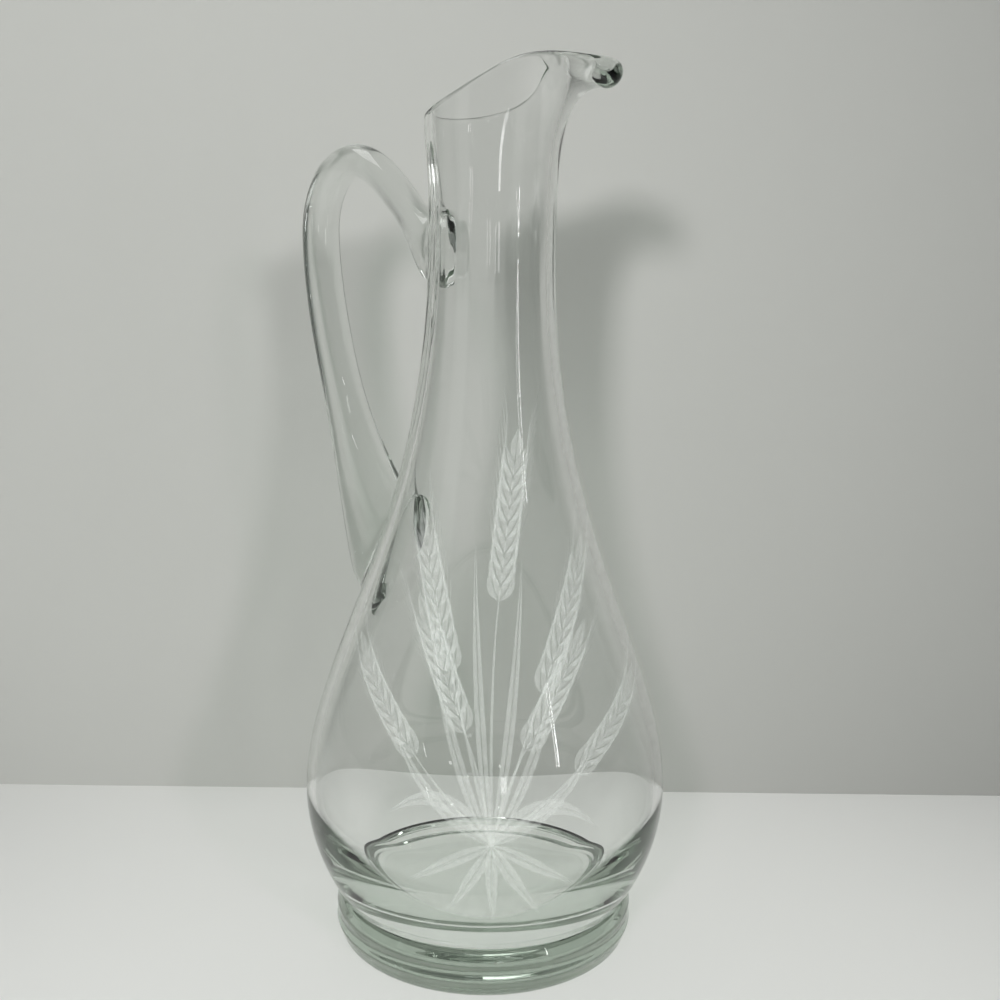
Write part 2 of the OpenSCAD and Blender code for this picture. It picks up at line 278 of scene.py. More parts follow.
def skin(rings):
    """Points and faces over a row of rings, closed at both ends with a fan to a middle point."""
    count = len(rings[0])
    points = [p for ring in rings for p in ring]
    faces = []
    for k in range(len(rings) - 1):
        for i in range(count):
            j = (i + 1) % count
            faces.append((k * count + i, k * count + j, (k + 1) * count + j, (k + 1) * count + i))
    for k in (0, len(rings) - 1):
        points.append(np.mean(rings[k], axis=0))
        middle = len(points) - 1
        faces += [(k * count + i, k * count + (i + 1) % count, middle) for i in range(count)]
    return points, faces


def ring_at(angles, radius, height):
    """A ring of points: radius and height may be one value or one for each angle."""
    radius = np.broadcast_to(radius, angles.shape)
    height = np.broadcast_to(height, angles.shape)
    return np.stack([radius * np.cos(angles), radius * np.sin(angles), height], -1)


def turned_profile(angles, profile):
    """Rings of a profile turned round the axis."""
    return [ring_at(angles, r, z) for r, z in profile]


def inner_rings(angles, profile):
    """Rings of the inside, with the neck's ripples drawn into them."""
    wave = sum(share * np.sin(lobes * angles + turn) for lobes, share, turn in RIPPLES)
    wave = wave * (RIPPLE_FRONT + (1 - RIPPLE_FRONT) * (0.5 - 0.5 * np.cos(angles)) ** 2)
    depths = [RIPPLE_DEPTH * math.exp(-((z - RIPPLE_Z) / RIPPLE_HALF) ** 2) for _, z in profile]
    return [ring_at(angles, r + depth * wave, z) for (r, z), depth in zip(profile, depths)]


def spout_pull(angles):
    """Share of the spout's section at each angle."""
    from_spout = np.where(angles > np.pi, angles - 2 * np.pi, angles)
    return np.exp(-(np.degrees(from_spout) / SPOUT_SPREAD) ** 2)[:, None]


def mouth_sections(angles):
    """Control points of the outer and inner sections at each angle, from the neck to the rim."""
    pull = spout_pull(angles)
    rise = MOUTH_R * math.tan(math.radians(MOUTH_SLANT))
    top = MOUTH_Z + rise * np.cos(angles) + MOUTH_DIP * np.cos(2 * angles)
    third = (top - mouth_base) / 3
    tip = np.array([SPOUT_REACH - SPOUT_T / 2, SPOUT_Z - SPOUT_T / 2])
    bend = np.array([SPOUT_THROAT, tip[1] + SPOUT_DROOP])
    across = SPOUT_WALL * np.array([-math.sin(math.radians(LIP_TURN)), math.cos(math.radians(LIP_TURN))])
    sections = []
    for depth, lip, over in ((0.0, np.zeros(2), 0.0), (WALL, across, SPOUT_T)):
        low, high = NECK_R - depth, MOUTH_R - depth
        plain = [(low, mouth_base), (low, mouth_base + third), (high, top - third), (high, top)]
        spout = [(low, mouth_base), (low, mouth_base + SPOUT_PULL), bend + lip, tip + (0, over)]
        blended = []
        for (r, z), there in zip(plain, spout):
            here = np.stack([np.broadcast_to(r, angles.shape), np.broadcast_to(z, angles.shape)], -1)
            blended.append(here * (1 - pull) + np.asarray(there) * pull)
        sections.append(blended)
    return sections


def section_ring(angles, section, t):
    """Ring through the sections at the same share of their length."""
    at = cubic(section, t)
    return ring_at(angles, at[:, 0], at[:, 1])


def unit(rows):
    """Each row as a step of one."""
    return rows / np.linalg.norm(rows, axis=1)[:, None]


def rim_rings(angles, outer, inner):
    """Rings of the fire-polished round between the outer and the inner edge of the rim."""
    middle, half = (outer[3] + inner[3]) / 2, (outer[3] - inner[3]) / 2
    lean = unit(unit(outer[3] - outer[2]) + unit(inner[3] - inner[2]))
    reach = np.linalg.norm(half, axis=1)[:, None]
    rings = []
    for turn in np.pi * np.arange(1, RIM_RINGS) / RIM_RINGS:
        at = middle + half * math.cos(turn) + lean * reach * math.sin(turn)
        rings.append(ring_at(angles, at[:, 0], at[:, 1]))
    return rings


def make_body(seats):
    """Bowl, neck, mouth and spout as one closed skin, with the handle's and the foot's seats marked."""
    share = np.arange(SIDES) / SIDES
    angles = 2 * np.pi * share - SPOUT_CROWDING * np.sin(2 * np.pi * share)
    base = [(r, SEAT_Z) for r in np.linspace(MIDDLE_R, PLUG_R, BASE_RINGS)]
    base += [(PLUG_R, z) for z in np.linspace(SEAT_Z, groove_z, PLUG_RINGS)[1:]]
    base += [(r, groove_z) for r in np.linspace(PLUG_R, GROOVE_R, GROOVE_RINGS)[1:-1]]
    shoulder = cubic(shoulder_curve, steps(SHOULDER_RINGS, first=False))
    straight = [(NECK_R, z) for z in np.linspace(NECK_Z, mouth_base, STRAIGHT_RINGS)[1:-1]]
    rings = turned_profile(angles, base)
    rings += turned_profile(angles, cubic(lower_curve, steps(BELLY_RINGS)))
    rings += turned_profile(angles, shoulder)
    rings += turned_profile(angles, straight)
    outer, inner = mouth_sections(angles)
    rings += [section_ring(angles, outer, t) for t in steps(MOUTH_RINGS)]
    rings += rim_rings(angles, outer, inner)
    rings += [section_ring(angles, inner, t) for t in steps(MOUTH_RINGS)[::-1]]
    rings += inner_rings(angles, [(r - WALL, z) for r, z in straight[::-1]])
    rings += inner_rings(angles, inside_of(shoulder)[::-1])
    rings += turned_profile(angles, cubic(floor_curve, steps(SHAM_RINGS))[::-1])
    floor = [(r, floor_z) for r in np.linspace(FLOOR_R, FLOOR_MIDDLE_R, FLOOR_RINGS)[1:]]
    rings += turned_profile(angles, floor)
    body = make_mesh("body_glass", *skin(rings))
    mark_body_seats(body, seats)
    return body


def outline_distance(points, outline):
    """Signed distance of flat points to a closed outline, below zero inside it."""
    a, b = outline, np.roll(outline, -1, axis=0)
    best = np.full(len(points), np.inf)
    crossings = np.zeros(len(points), int)
    for p, q in zip(a, b):
        edge = q - p
        share = np.clip(((points - p) @ edge) / (edge @ edge), 0, 1)
        best = np.minimum(best, np.linalg.norm(points - p - share[:, None] * edge, axis=1))
        if q[1] != p[1]:
            between = (points[:, 1] < p[1]) != (points[:, 1] < q[1])
            crosses = points[:, 0] < p[0] + (points[:, 1] - p[1]) * edge[0] / edge[1]
            crossings += between & crosses
    return np.where(crossings % 2 == 1, -best, best)


def unrolled(points, radius):
    """Points round the handle's side laid flat: distance round a cylinder of that radius, and height."""
    angle = np.arctan2(points[:, 1], -points[:, 0])
    return np.stack([radius * angle, points[:, 2]], -1)


def write_seat(piece, values):
    """Keep a seat value for each face corner of a piece."""
    attribute = piece.data.attributes.new(SEAT_ATTRIBUTE, "FLOAT", "CORNER")
    attribute.data.foreach_set("value", values.astype(np.float32))


def corner_points(piece):
    """The vertex of each face corner, and all vertices in millimetres."""
    mesh = piece.data
    points = np.empty(len(mesh.vertices) * 3)
    mesh.vertices.foreach_get("co", points)
    corners = np.empty(len(mesh.loops), int)
    mesh.loops.foreach_get("vertex_index", corners)
    return corners, points.reshape(-1, 3) / MM


def corner_faces(piece):
    """The face of each face corner."""
    sizes = np.array([polygon.loop_total for polygon in piece.data.polygons])
    return np.repeat(np.arange(len(sizes)), sizes)


def mark_body_seats(body, outlines):
    """Below zero on the faces that are fused to the handle or the foot."""
    corners, points = corner_points(body)
    radius = np.hypot(points[:, 0], points[:, 1])
    values = np.full(len(points), FAR)
    for outline in outlines:
        mean_r = np.hypot(outline[:, 0], outline[:, 1]).mean()
        low, high = outline[:, 2].min() - FAR, outline[:, 2].max() + FAR
        near = (points[:, 2] > low) & (points[:, 2] < high) & (points[:, 0] < 0)
        near &= radius > outer_radius(points[:, 2]) - WALL / 2
        flat = unrolled(points[near], mean_r)
        values[near] = np.minimum(values[near], outline_distance(flat, unrolled(outline, mean_r)))
    at_corners = values[corners]
    faces = corner_faces(body)
    top = np.zeros(faces[-1] + 1)
    off_plug = np.zeros(faces[-1] + 1)
    np.maximum.at(top, faces, points[corners, 2])
    np.maximum.at(off_plug, faces, np.abs(radius[corners] - PLUG_R))
    under_bowl = top < SEAT_Z + TOUCH
    round_plug = (top < groove_z + TOUCH) & (off_plug < TOUCH)
    at_corners[(under_bowl | round_plug)[faces]] = -FAR
    write_seat(body, at_corners)


def foot_wave(z):
    """How far the faint rings push the foot's side out or in at that height."""
    return FOOT_WAVE * math.sin(math.pi * z / FOOT_H) * math.sin(2 * math.pi * z / FOOT_WAVE_Z)


def make_foot():
    """Cast foot with the seat that the bowl is fused into."""
    angles = 2 * np.pi * np.arange(FOOT_SIDES) / FOOT_SIDES
    seat_r = PLUG_R + PLUG_GAP
    seat_z = SEAT_Z - PLUG_GAP
    under, under_radii = (FOOT_FLAT_R, FOOT_UNDER), (FOOT_R - FOOT_FLAT_R, FOOT_UNDER)
    over, over_radii = (FOOT_R - FOOT_OVER_W, FOOT_H - FOOT_OVER), (FOOT_OVER_W, FOOT_OVER)
    side = list(arc(under, under_radii, -90, 0, FOOT_UNDER_RINGS))
    side += [(FOOT_R, z) for z in np.linspace(FOOT_UNDER, FOOT_H - FOOT_OVER, FOOT_SIDE_RINGS)[1:]]
    side += list(arc(over, over_radii, 0, 90, FOOT_OVER_RINGS))
    profile = [(r, 0.0) for r in np.linspace(MIDDLE_R, FOOT_FLAT_R, FOOT_FLAT_RINGS)]
    profile += [(r + foot_wave(z), z) for r, z in side]
    profile += [(r, FOOT_H) for r in np.linspace(FOOT_R - FOOT_OVER_W, seat_r, FOOT_TOP_RINGS)[1:]]
    profile += [(seat_r, z) for z in np.linspace(FOOT_H, seat_z, PLUG_RINGS)[1:]]
    profile += [(r, seat_z) for r in np.linspace(seat_r, MIDDLE_R, FOOT_FLAT_RINGS)[1:]]
    foot = make_mesh("foot_glass", *skin(turned_profile(angles, profile)))
    corners, points = corner_points(foot)
    faces = corner_faces(foot)
    bottom = np.full(faces[-1] + 1, np.inf)
    furthest = np.zeros(faces[-1] + 1)
    np.minimum.at(bottom, faces, points[corners, 2])
    np.maximum.at(furthest, faces, np.hypot(points[corners, 0], points[corners, 1]))
    fused = (bottom > SEAT_Z - 2 * PLUG_GAP) & (furthest < seat_r + TOUCH)
    write_seat(foot, np.where(fused[faces], -FAR, FAR))
    return foot


def swell(distance, length):
    """Share of a pad's swelling at a distance from its seat."""
    return np.clip(1 - np.maximum(distance, 0) / length, 0, 1) ** 2


def rod_rings():
    """Rings of the handle's rod along its centreline, running on into the body at both ends."""
    upper_seat = np.array([NECK_R, UPPER_SEAT_Z])
    lower_seat = np.array([float(outer_radius(LOWER_SEAT_Z)), LOWER_SEAT_Z])
    crown, side = np.array([CROWN_R, CROWN_Z]), np.array([HANDLE_REACH, SIDE_Z])
    up, down = direction(UPPER_ANGLE), direction(LOWER_ANGLE)
    rise = [upper_seat, upper_seat + UPPER_PULL * up, crown - (CROWN_PULL_IN, 0), crown]
    bend = [crown, crown + (CROWN_PULL_OUT, 0), side + (0, SIDE_PULL_UP), side]
    fall = [side, side - (0, SIDE_PULL_DOWN), lower_seat + LOWER_PULL * down, lower_seat]
    line = np.vstack([
        upper_seat - UPPER_ROOT * (1 - steps(UPPER_ROOT_RINGS))[:, None] * up,
        cubic(rise, steps(RISE_RINGS, first=False)),
        cubic(bend, steps(BEND_RINGS, first=False)),
        cubic(fall, steps(FALL_RINGS, first=False)),
        lower_seat - LOWER_ROOT * steps(LOWER_ROOT_RINGS, first=False)[:, None] * down,
    ])
    run = np.concatenate([[0], np.cumsum(np.linalg.norm(np.diff(line, axis=0), axis=1))])
    upper_mark, lower_mark = UPPER_ROOT, run[-1] - LOWER_ROOT
    share = np.clip((run - upper_mark) / (lower_mark - upper_mark), 0, 1)
    upper, lower = swell(run - upper_mark, UPPER_FLARE), swell(lower_mark - run, LOWER_FLARE)

    def across(near, far, upper_pad, lower_pad):
        rod = near + (far - near) * share
        return rod + (upper_pad - rod) * upper + (lower_pad - rod) * lower

    thick = across(ROD_T, ROD_LOW_T, UPPER_PAD_T, LOWER_PAD_T) / 2
    wide = across(ROD_W, ROD_LOW_W, UPPER_PAD_W, LOWER_PAD_W) / 2
    heading = unit(np.gradient(line, axis=0))
    turn = 2 * np.pi * np.arange(ROD_SIDES) / ROD_SIDES
    away = line[:, :1] - heading[:, 1:] * thick[:, None] * np.cos(turn)
    height = line[:, 1:] + heading[:, :1] * thick[:, None] * np.cos(turn)
    return np.stack([-away, wide[:, None] * np.sin(turn), height], -1)


def trimmed_rod(rings):
    """The rod's rings drawn in so that each side line starts and ends on the body's outer face."""
    clear = np.hypot(rings[..., 0], rings[..., 1]) - outer_radius(rings[..., 2]) - PAD_GAP
    row = np.arange(len(rings))
    middle = len(rings) // 2
    trimmed = np.empty((ROD_RINGS + 1, ROD_SIDES, 3))
    for k in range(ROD_SIDES):
        ends = []
        for way in (-1, 1):
            i = middle
            while clear[i, k] > 0:
                i += way
            share = clear[i - way, k] / (clear[i - way, k] - clear[i, k])
            ends.append(i - way + way * share)
        at = ends[0] + (ends[1] - ends[0]) * steps(ROD_RINGS)
        for axis in range(3):
            trimmed[:, k, axis] = np.interp(at, row, rings[:, k, axis])
    return trimmed


def flow_out(rod, end, reach, clearance):
    """The rod with one end's side lines moved out along the body, the more the nearer they are to it."""
    angle, z = np.arctan2(rod[..., 1], -rod[..., 0]), rod[..., 2]
    radius = np.hypot(rod[..., 0], rod[..., 1])
    clear = radius - outer_radius(z)
    end_r = radius[end].mean()
    way = unit(np.stack([end_r * (angle[end] - angle[end].mean()), z[end] - z[end].mean()], -1))
    first_half = np.arange(len(rod)) < len(rod) // 2
    this_half = first_half if end == 0 else ~first_half
    near = np.clip(1 - (clear - PAD_GAP) / clearance, 0, 1) ** 2 * this_half[:, None]
    angle = angle + reach * near * way[:, 0] / end_r
    z = z + reach * near * way[:, 1]
    radius = np.where(near > 0, outer_radius(z) + clear, radius)
    return np.stack([-radius * np.cos(angle), radius * np.sin(angle), z], -1)


def pad_rings(outline):
    """Rings that close a pad's end over the body's outer face, from its outline to its middle."""
    angle, height = np.arctan2(outline[:, 1], -outline[:, 0]), outline[:, 2]
    rings = []
    for keep in 1 - steps(PAD_RINGS, first=False)[:-1]:
        a = angle.mean() + (angle - angle.mean()) * keep
        z = height.mean() + (height - height.mean()) * keep
        r = outer_radius(z) + PAD_GAP
        rings.append(np.stack([-r * np.cos(a), r * np.sin(a), z], -1))
    return rings


def make_handle():
    """Drawn handle whose two pads lie on the body's surface, and the outlines of those pads."""
    rod = trimmed_rod(rod_rings())
    rod = flow_out(flow_out(rod, 0, *UPPER_FLOW), -1, *LOWER_FLOW)
    upper, lower = rod[0], rod[-1]
    rings = pad_rings(upper)[::-1] + list(rod) + pad_rings(lower)
    handle = make_mesh("handle_glass", *skin(rings))
    corners, points = corner_points(handle)
    faces = corner_faces(handle)
    clear = np.hypot(points[:, 0], points[:, 1]) - outer_radius(points[:, 2])
    furthest = np.zeros(faces[-1] + 1)
    np.maximum.at(furthest, faces, clear[corners])
    write_seat(handle, np.where(furthest[faces] < 2 * PAD_GAP, -FAR, FAR))
    return handle, [upper, lower]


def on_bowl(flat, lift):
    """Flat design points laid on the bowl's outer face, raised by the lift."""
    radius = bowl_radius(flat[..., 1])
    angle = math.radians(SPRAY_AZIMUTH) + flat[..., 0] / radius
    return ring_at(angle, radius + lift, flat[..., 1])


def bent(start, bend, end, count):
    """Points on a line that leaves the start towards the bend and comes to the end from it."""
    t = steps(count)[:, None]
    start, bend, end = (np.asarray(p, float) for p in (start, bend, end))
    return (1 - t) ** 2 * start + 2 * (1 - t) * t * bend + t ** 2 * end


def blade(line, left, right):
    """Flat strip along a line, as rows of points between its left and right edges."""
    heading = unit(np.gradient(line, axis=0))
    side = np.stack([-heading[:, 1], heading[:, 0]], -1)
    edges = [line + side * np.asarray(w)[:, None] for w in (left, right)]
    return np.stack([edges[0], (edges[0] + edges[1]) / 2, edges[1]], 1)


def veined(line, widest):
    """A leaf or grain as two blades beside an open vein."""
    half = np.maximum(widest * np.sin(np.pi * steps(len(line) - 1) ** WIDEST_EARLY), VEIN_W + TIP_W)
    vein = np.full(len(line), VEIN_W)
    return [blade(line, half, vein), blade(line, -vein, -half)]


def thread(line, widest):
    """A stem or awn as one thin blade that narrows to its end."""
    half = np.maximum(widest * (1 - STEM_TAPER * steps(len(line) - 1)), TIP_W)
    return [blade(line, half, -half)]


def turned_by(heading, angle):
    """A heading turned by an angle."""
    turn = math.radians(angle)
    return np.array([
        heading[0] * math.cos(turn) - heading[1] * math.sin(turn),
        heading[0] * math.sin(turn) + heading[1] * math.cos(turn),
    ])


def ear_blades(bend, top, length, pairs):
    """One ear: its stem from the tie, grains in pairs up its axis, and an awn from each grain."""
    stem = bent(TIE, bend, top, STEM_STEPS)
    heading = unit(stem[-1:] - stem[-2:-1])[0]
    blades = thread(stem, STEM_W)
    for k in range(pairs):
        foot = stem[-1] + heading * length * k / pairs
        for way in (-1, 1):
            grain_tip = foot + turned_by(heading, way * GRAIN_TURN) * GRAIN_L
            belly = foot + turned_by(heading, way * GRAIN_TURN * BELLY_TURN) * GRAIN_L / 2
            blades += veined(bent(foot, belly, grain_tip, GRAIN_STEPS), GRAIN_W)
            awn_tip = grain_tip + turned_by(heading, way * AWN_TURN) * AWN_L
            awn = bent(grain_tip, grain_tip + heading * AWN_L / 2, awn_tip, AWN_STEPS)
            blades += thread(awn, AWN_W)
    last = stem[-1] + heading * length
    last_grain = bent(last, last + heading * GRAIN_L / 2, last + heading * GRAIN_L, GRAIN_STEPS)
    return blades + veined(last_grain, GRAIN_W)


def slab(grid, lift, first):
    """Points and faces of a thin closed plate over a grid of flat points, numbered from first."""
    rows, columns = grid.shape[:2]
    front, back = on_bowl(grid, lift + SPRAY_T), on_bowl(grid, lift)
    points = np.vstack([front.reshape(-1, 3), back.reshape(-1, 3)])
    index = np.arange(rows * columns).reshape(rows, columns)
    quads = [(index[i, j], index[i, j + 1], index[i + 1, j + 1], index[i + 1, j])
             for i in range(rows - 1) for j in range(columns - 1)]
    edge = [*index[0, :-1], *index[:-1, -1], *index[-1, :0:-1], *index[:0:-1, 0]]
    faces = [tuple(first + k for k in q) for q in quads]
    faces += [tuple(first + index.size + k for k in q[::-1]) for q in quads]
    for a, b in zip(edge, edge[1:] + edge[:1]):
        faces.append((first + b, first + a, first + index.size + a, first + index.size + b))
    return points, faces


def make_spray():
    """The whole frosted spray as thin plates just outside the glass, each on a layer of its own."""
    blades = [b for bend, top, length, pairs in EARS for b in ear_blades(bend, top, length, pairs)]
    for bend, tip, widest in LEAVES:
        blades += veined(bent(TIE, bend, tip, LEAF_STEPS), widest)
    points, faces = [], []
    for k, grid in enumerate(blades):
        more, plates = slab(grid, SPRAY_LIFT + SPRAY_LAYER * (k % SPRAY_LAYERS), len(points))
        points += list(more)
        faces += plates
    return make_mesh("frosted_spray", points, faces)


def add(nodes, kind, **inputs):
    """A node with values set on its own sockets, named in words with underscores."""
    node = nodes.new(kind)
    for name, value in inputs.items():
        node.inputs[name.replace("_", " ")].default_value = value
    return node


def new_material(name):
    """An empty material, with its nodes, its links and its output."""
    material = bpy.data.materials.new(name)
    material.use_nodes = True
    nodes = material.node_tree.nodes
    nodes.clear()
    return material, nodes, material.node_tree.links, nodes.new("ShaderNodeOutputMaterial")


def mix_shaders(nodes, links, share, first, second):
    """Output of a mix of two shaders, the second by the given share."""
    mixed = nodes.new("ShaderNodeMixShader")
    links.new(share, mixed.inputs["Fac"])
    links.new(first, mixed.inputs[1])
    links.new(second, mixed.inputs[2])
    return mixed.outputs["Shader"]


def glass_material(name, wave_scale, wave_depth, shade):
    """Clear tinted glass with faint waves and smears, shadows by height and see-through fused seats."""
    material, nodes, links, out = new_material(name)
    place = nodes.new("ShaderNodeTexCoord")
    stretch = nodes.new("ShaderNodeMapping")
    stretch.inputs["Scale"].default_value = wave_scale
    links.new(place.outputs["Object"], stretch.inputs["Vector"])
    waves = add(nodes, "ShaderNodeTexNoise", Scale=1.0, Detail=2.0, Roughness=0.4)
    links.new(stretch.outputs["Vector"], waves.inputs["Vector"])
    bump = add(nodes, "ShaderNodeBump", Strength=1.0, Distance=wave_depth * MM)
    links.new(waves.outputs["Fac"], bump.inputs["Height"])
    smears = add(nodes, "ShaderNodeTexNoise", Scale=38.0, Detail=4.0, Roughness=0.6)
    links.new(place.outputs["Object"], smears.inputs["Vector"])
    haze = add(nodes, "ShaderNodeMapRange", From_Min=0.5, From_Max=0.8, To_Min=0.0, To_Max=0.035)
    links.new(smears.outputs["Fac"], haze.inputs["Value"])
    glass = add(nodes, "ShaderNodeBsdfPrincipled", Base_Color=(1.0, 1.0, 1.0, 1.0), IOR=GLASS_IOR)
    glass.inputs["Transmission Weight"].default_value = 1.0
    links.new(haze.outputs["Result"], glass.inputs["Roughness"])
    links.new(bump.outputs["Normal"], glass.inputs["Normal"])

    parts = nodes.new("ShaderNodeSeparateXYZ")
    links.new(place.outputs["Object"], parts.inputs["Vector"])
    height = add(nodes, "ShaderNodeMapRange", From_Max=SHADE_TOP * MM)
    links.new(parts.outputs["Z"], height.inputs["Value"])
    ramp = nodes.new("ShaderNodeValToRGB")
    stops = ramp.color_ramp.elements
    for stop in list(stops)[1:]:
        stops.remove(stop)
    for k, (z, colour) in enumerate(shade):
        stop = stops[0] if k == 0 else stops.new(z / SHADE_TOP)
        stop.position, stop.color = z / SHADE_TOP, colour
    links.new(height.outputs["Result"], ramp.inputs["Fac"])
    shadow = nodes.new("ShaderNodeBsdfTransparent")
    links.new(ramp.outputs["Color"], shadow.inputs["Color"])
    path = nodes.new("ShaderNodeLightPath")
    last = glass.outputs["BSDF"]
    for ray in ("Is Diffuse Ray", "Is Shadow Ray"):
        last = mix_shaders(nodes, links, path.outputs[ray], last, shadow.outputs["BSDF"])

    seat = nodes.new("ShaderNodeAttribute")
    seat.attribute_name = SEAT_ATTRIBUTE
    fused = nodes.new("ShaderNodeMath")
    fused.operation = "LESS_THAN"
    fused.inputs[1].default_value = 0.0
    links.new(seat.outputs["Fac"], fused.inputs[0])
    through = add(nodes, "ShaderNodeBsdfTransparent", Color=(1.0, 1.0, 1.0, 1.0))
    last = mix_shaders(nodes, links, fused.outputs["Value"], last, through.outputs["BSDF"])
    links.new(last, out.inputs["Surface"])
    absorb = add(nodes, "ShaderNodeVolumeAbsorption", Color=GLASS_TINT, Density=GLASS_DENSITY)
    links.new(absorb.outputs["Volume"], out.inputs["Volume"])
    return material


def frosted_material():
    """Etched haze: a whitish matt film whose cover varies finely."""
    material, nodes, links, out = new_material("frosted_etching")
    place = nodes.new("ShaderNodeTexCoord")
    grain = add(nodes, "ShaderNodeTexNoise", Scale=900.0, Detail=3.0, Roughness=0.6)
    links.new(place.outputs["Object"], grain.inputs["Vector"])
    cover = add(nodes, "ShaderNodeMapRange", From_Min=0.3, From_Max=0.7, To_Min=0.06, To_Max=0.16)
    links.new(grain.outputs["Fac"], cover.inputs["Value"])
    film = add(nodes, "ShaderNodeBsdfPrincipled", Base_Color=(0.82, 0.85, 0.82, 1.0), Roughness=0.85)
    clear = nodes.new("ShaderNodeBsdfTransparent")
    share = cover.outputs["Result"]
    both = mix_shaders(nodes, links, share, clear.outputs["BSDF"], film.outputs["BSDF"])
    links.new(both, out.inputs["Surface"])
    return material


def in_view(x, y, z):
    """A place given from the camera's side, as right, away and up, in the part's frame in metres."""
    return Matrix.Rotation(math.radians(VIEW_TURN), 4, "Z") @ Vector((x, y, z)) * MM


def make_camera():
    """Camera at the photograph's view."""
    pitch, roll, yaw = (math.radians(a) for a in (VIEW_PITCH, VIEW_ROLL, VIEW_YAW))
    ahead = Vector((math.sin(yaw) * math.cos(pitch), math.cos(yaw) * math.cos(pitch), -math.sin(pitch)))
    level = Vector((math.cos(yaw), -math.sin(yaw), 0))
    above = level.cross(ahead)
    right = math.cos(roll) * level + math.sin(roll) * above
    up = -math.sin(roll) * level + math.cos(roll) * above
    axes = Matrix((right, up, -ahead)).transposed().to_4x4()
    lens = bpy.data.cameras.new("camera")
    lens.sensor_fit = "HORIZONTAL"
    lens.sensor_width = SENSOR
    lens.lens = SENSOR * FOCAL_PX / FRAME_PX
    lens.clip_start = 0.01
    camera = bpy.data.objects.new("camera", lens)
    turn = Matrix.Rotation(math.radians(VIEW_TURN), 4, "Z")
    place = Matrix.Translation(Vector((0, -VIEW_DISTANCE, VIEW_HEIGHT)) * MM)
    camera.matrix_world = turn @ place @ axes
    bpy.context.scene.collection.objects.link(camera)
    bpy.context.scene.camera = camera


def stage_material(name, colour, variation, painted_light_centre):
    """Plain pale surface with a faint mottle and painted light that dims it away from its bright place,
    clear from behind.
    """
    material, nodes, links, out = new_material(name)
    place = nodes.new("ShaderNodeTexCoord")
    mottle = add(nodes, "ShaderNodeTexNoise", Scale=9.0, Detail=3.0)
    links.new(place.outputs["Object"], mottle.inputs["Vector"])
    blend = nodes.new("ShaderNodeMix")
    blend.data_type = "RGBA"
    blend.inputs["A"].default_value = (*[c * (1 - variation) for c in colour], 1.0)
    blend.inputs["B"].default_value = (*[c * (1 + variation) for c in colour], 1.0)
    links.new(mottle.outputs["Fac"], blend.inputs["Factor"])
    far = nodes.new("ShaderNodeVectorMath")
    far.operation = "DISTANCE"
    far.inputs[1].default_value = in_view(*painted_light_centre)
    links.new(place.outputs["Object"], far.inputs[0])
    # Painted light: the colour is scaled down with the distance from the bright place, a lamp's fall-off
    # painted in
    painted_falloff = add(nodes, "ShaderNodeMapRange", From_Min=PAINTED_FALLOFF_FROM * MM, From_Max=PAINTED_FALLOFF_TO * MM, To_Min=1.0,
               To_Max=PAINTED_FALLOFF_LEFT)
    painted_falloff.interpolation_type = "SMOOTHSTEP"
    links.new(far.outputs["Value"], painted_falloff.inputs["Value"])
    dimmed = nodes.new("ShaderNodeVectorMath")
    dimmed.operation = "SCALE"
    links.new(blend.outputs["Result"], dimmed.inputs[0])
    links.new(painted_falloff.outputs["Result"], dimmed.inputs["Scale"])
    paint = add(nodes, "ShaderNodeBsdfPrincipled", Roughness=0.75)
    links.new(dimmed.outputs["Vector"], paint.inputs["Base Color"])
    clear = nodes.new("ShaderNodeBsdfTransparent")
    side = nodes.new("ShaderNodeNewGeometry")
    behind = side.outputs["Backfacing"]
    both = mix_shaders(nodes, links, behind, paint.outputs["BSDF"], clear.outputs["BSDF"])
    links.new(both, out.inputs["Surface"])
    return material


def stage_plane(name, corners, material):
    """A flat four-cornered piece of the stage, its corners given from the camera's side."""
    mesh = bpy.data.meshes.new(name)
    mesh.from_pydata([in_view(*c) for c in corners], [], [(0, 1, 2, 3)])
    mesh.materials.append(material)
    made = bpy.data.objects.new(name, mesh)
    bpy.context.scene.collection.objects.link(made)


def make_stage():
    """Pale floor and backdrop."""
    # Both carry painted light: brighter round a place in front of the foot and on the backdrop left of
    # the carafe, dimmer further off
    floor = stage_material("floor_pale", (0.73, 0.735, 0.715), 0.015, FLOOR_PAINTED_LIGHT_CENTRE)
    backdrop = stage_material("backdrop_pale", (0.48, 0.485, 0.462), 0.02, BACKDROP_PAINTED_LIGHT_CENTRE)
    half, front, back = STAGE_HALF, -STAGE_FRONT, STAGE_BACK
    stage_plane("floor", [(-half, front, FLOOR_Z), (half, front, FLOOR_Z), (half, back, FLOOR_Z),
                          (-half, back, FLOOR_Z)], floor)
    left, right, behind, top = BACKDROP_LEFT, BACKDROP_RIGHT, WALL_BEHIND, BACKDROP_H
    stage_plane("backdrop", [(left, behind, FLOOR_Z), (right, behind, FLOOR_Z), (right, behind, top),
                             (left, behind, top)], backdrop)


def softbox(name, place, target, size, power, mirrored=False, shadows=True, tint=(1.0, 1.0, 1.0)):
    """A rectangular lamp facing a target, both given from the camera's side.

    Only a mirrored lamp is seen in the glass.
    """
    lamp = bpy.data.lights.new(name, "AREA")
    lamp.shape = "RECTANGLE"
    lamp.size, lamp.size_y = size[0] * MM, size[1] * MM
    lamp.energy = power
    lamp.color = tint
    lamp.use_shadow = shadows
    holder = bpy.data.objects.new(name, lamp)
    holder.location = in_view(*place)
    holder.rotation_euler = (in_view(*target) - in_view(*place)).to_track_quat("-Z", "Y").to_euler()
    holder.visible_glossy = mirrored
    holder.visible_transmission = mirrored
    bpy.context.scene.collection.objects.link(holder)


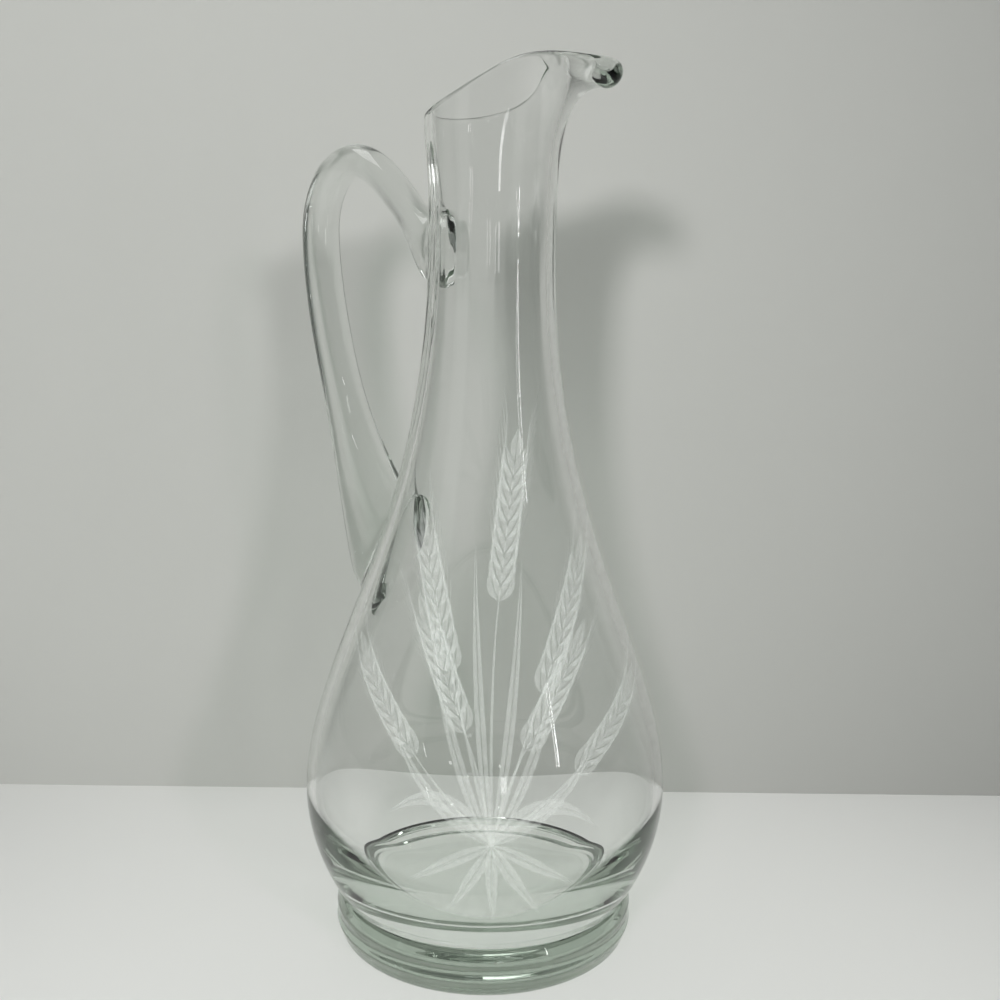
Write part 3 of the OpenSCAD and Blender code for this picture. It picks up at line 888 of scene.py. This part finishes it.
def around(azimuth, elevation, distance):
    """A place round the neck: degrees to the right of the camera, degrees up and millimetres away."""
    turn, rise = math.radians(azimuth), math.radians(elevation)
    level = distance * math.cos(rise)
    return (level * math.sin(turn), -level * math.cos(turn), NECK_Z + distance * math.sin(rise))


def make_lights():
    """Two key lamps and their small reflections, a lamp above, two streaks, a side panel and the room."""
    aim = (0, 0, NECK_Z)
    softbox("left_front", around(-12.7, 21.5, 900), aim, (90, 90), 5.15)
    softbox("right_front", around(28.7, 22, 1700), aim, (120, 120), 9.8)
    softbox("top", (-350, 60, 1700), (0, 60, 0), (1100, 700), 8.0, mirrored=True, shadows=False)
    softbox("left_spark", around(-12.7, 21.5, 880), aim, (30, 30), 0.06, mirrored=True)
    softbox("right_spark", around(28.7, 22, 1650), aim, (60, 60), 0.22, mirrored=True)
    softbox("streak", around(47, 5.9, 1300), aim, (20, 310), 0.40, mirrored=True)
    softbox("neck_streak", around(11.5, -2.5, 1300), aim, (80, 110), 0.12, mirrored=True)
    greenish = (0.93, 1.0, 0.94)
    softbox("side_panel", around(-53, 6, 1300), aim, (520, 460), 0.25, mirrored=True, tint=greenish)
    make_room()


def make_room():
    """The room round the stage: dim at eye level and lighter towards the ceiling."""
    world = bpy.data.worlds.new("room")
    world.use_nodes = True
    nodes, links = world.node_tree.nodes, world.node_tree.links
    place = nodes.new("ShaderNodeTexCoord")
    parts = nodes.new("ShaderNodeSeparateXYZ")
    links.new(place.outputs["Generated"], parts.inputs["Vector"])
    blend = nodes.new("ShaderNodeMix")
    blend.data_type = "RGBA"
    blend.inputs["A"].default_value = ROOM_LOW
    blend.inputs["B"].default_value = ROOM_HIGH
    links.new(parts.outputs["Z"], blend.inputs["Factor"])
    links.new(blend.outputs["Result"], nodes["Background"].inputs["Color"])
    bpy.context.scene.world = world


def place_piece(piece, material, node):
    """Give a piece its glass, let it ride on the part and stand for its solid."""
    piece.data.materials.append(material)
    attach(piece, "root")
    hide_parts(node)


for left_over in [o for o in bpy.data.objects if o.name in ("Cube", "Light", "Camera")]:
    bpy.data.objects.remove(left_over)

make_camera()
make_stage()
make_lights()

handle, pad_outlines = make_handle()
body = make_body(pad_outlines)
foot = make_foot()
handle_glass = glass_material("handle_clear_glass", (40.0, 40.0, 10.0), 0.05, HANDLE_SHADE)
body_glass = glass_material("body_clear_glass", (45.0, 45.0, 9.0), 0.05, BODY_SHADE)
foot_glass = glass_material("foot_clear_glass", (12.0, 12.0, 110.0), 0.05, BODY_SHADE)
place_piece(handle, handle_glass, "handle")
place_piece(body, body_glass, "body")
place_piece(foot, foot_glass, "foot")

spray = make_spray()
spray.data.materials.append(frosted_material())
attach(spray, "root")

scene = bpy.context.scene
scene.view_settings.view_transform = "Standard"
# Light passes many faces of glass before it comes out
scene.cycles.transparent_max_bounces = 32
scene.cycles.max_bounces = 40
scene.cycles.transmission_bounces = 40
scene.cycles.glossy_bounces = 20
